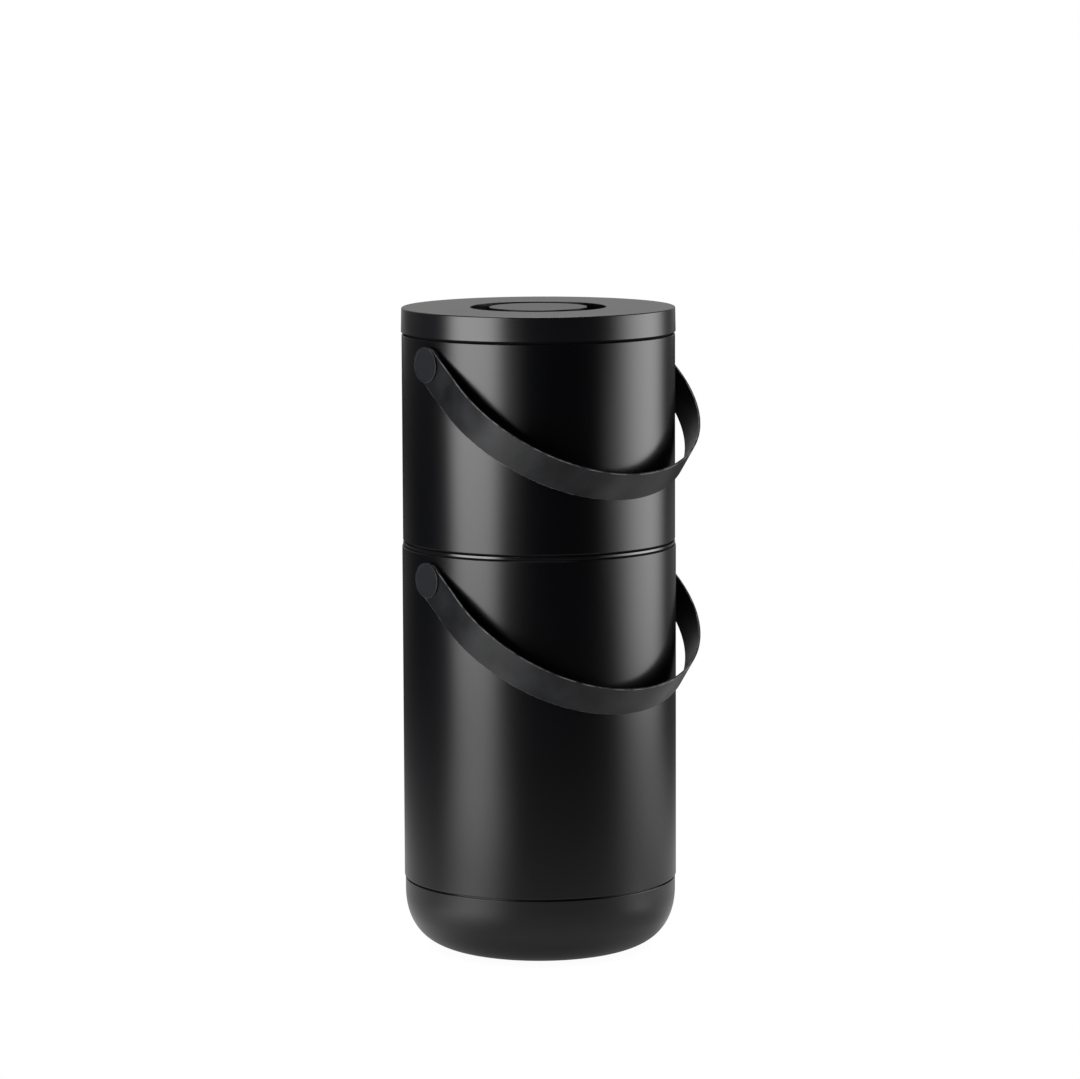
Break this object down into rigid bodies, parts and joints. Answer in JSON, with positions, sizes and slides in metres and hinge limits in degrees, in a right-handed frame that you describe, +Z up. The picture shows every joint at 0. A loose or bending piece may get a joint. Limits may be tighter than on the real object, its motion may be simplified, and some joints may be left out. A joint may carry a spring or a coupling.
{
  "type": "stacking compost bin",
  "caption": "Free-standing two-tier round compost bin: stacked buckets with swinging strap handles and a lift-off lid with a round finger well.",
  "frame": {"origin": "centre of the flat face that the bin stands on, on the axis of the buckets", "axes": "+Z up along the axis of the buckets, X along the handle pivots, -Y towards the side where the handles hang"},
  "size_m": [0.2524, 0.2603, 0.5656],
  "materials": {
    "sleeve_coat": "satin black coated sheet metal",
    "lid_moulding": "satin black moulding",
    "grip_moulding": "satin gloss dark grey moulding",
    "base_moulding": "matte fine-grained black moulding",
    "inner_moulding": "matte black moulding",
    "ring_gloss": "gloss black moulding",
    "strap_moulding": "matte soft-touch dark grey moulding",
    "pivot_coat": "matte dark blue-grey coated steel",
    "bush_nylon": "black nylon",
    "hardware": "plain stainless steel",
    "rubber": "black rubber"
  },
  "bodies": {
    "lower_bucket": {"base_cup": "base_moulding", "foot_pad": "rubber", "lower_sleeve": "sleeve_coat", "lower_rim": "inner_moulding", "lower_left_pivot_cap": "pivot_coat", "lower_left_pivot_bush": "bush_nylon", "lower_left_pivot_washer": "hardware", "lower_left_pivot_nut": "hardware", "lower_right_pivot_cap": "pivot_coat", "lower_right_pivot_bush": "bush_nylon", "lower_right_pivot_washer": "hardware", "lower_right_pivot_nut": "hardware"},
    "upper_bucket": {"upper_sleeve": "sleeve_coat", "upper_rim": "inner_moulding", "upper_floor": "inner_moulding", "stacking_ring": "ring_gloss", "upper_left_pivot_cap": "pivot_coat", "upper_left_pivot_bush": "bush_nylon", "upper_left_pivot_washer": "hardware", "upper_left_pivot_nut": "hardware", "upper_right_pivot_cap": "pivot_coat", "upper_right_pivot_bush": "bush_nylon", "upper_right_pivot_washer": "hardware", "upper_right_pivot_nut": "hardware"},
    "lid": {"lid_cap": "lid_moulding", "lid_well": "lid_moulding", "lid_grip": "grip_moulding", "lid_grip_stem": "grip_moulding", "lid_grip_screw": "hardware", "lid_seal": "rubber"},
    "upper_handle": {"upper_handle_strap": "strap_moulding"},
    "lower_handle": {"lower_handle_strap": "strap_moulding"}
  },
  "joints": [
    {"name": "upper_bucket_lift", "type": "slide", "parent": "lower_bucket", "child": "upper_bucket", "axis": [0, 0, 1], "range_m": [0, 0.1]},
    {"name": "lid_lift", "type": "slide", "parent": "upper_bucket", "child": "lid", "axis": [0, 0, 1], "range_m": [0, 0.06]},
    {"name": "upper_handle_swing", "type": "hinge", "parent": "upper_bucket", "child": "upper_handle", "pos_m": [0, 0, 0.5219], "axis": [-1, 0, 0], "range_deg": [0, 256]},
    {"name": "lower_handle_swing", "type": "hinge", "parent": "lower_bucket", "child": "lower_handle", "pos_m": [0, 0, 0.336], "axis": [-1, 0, 0], "range_deg": [0, 62]}
  ]
}
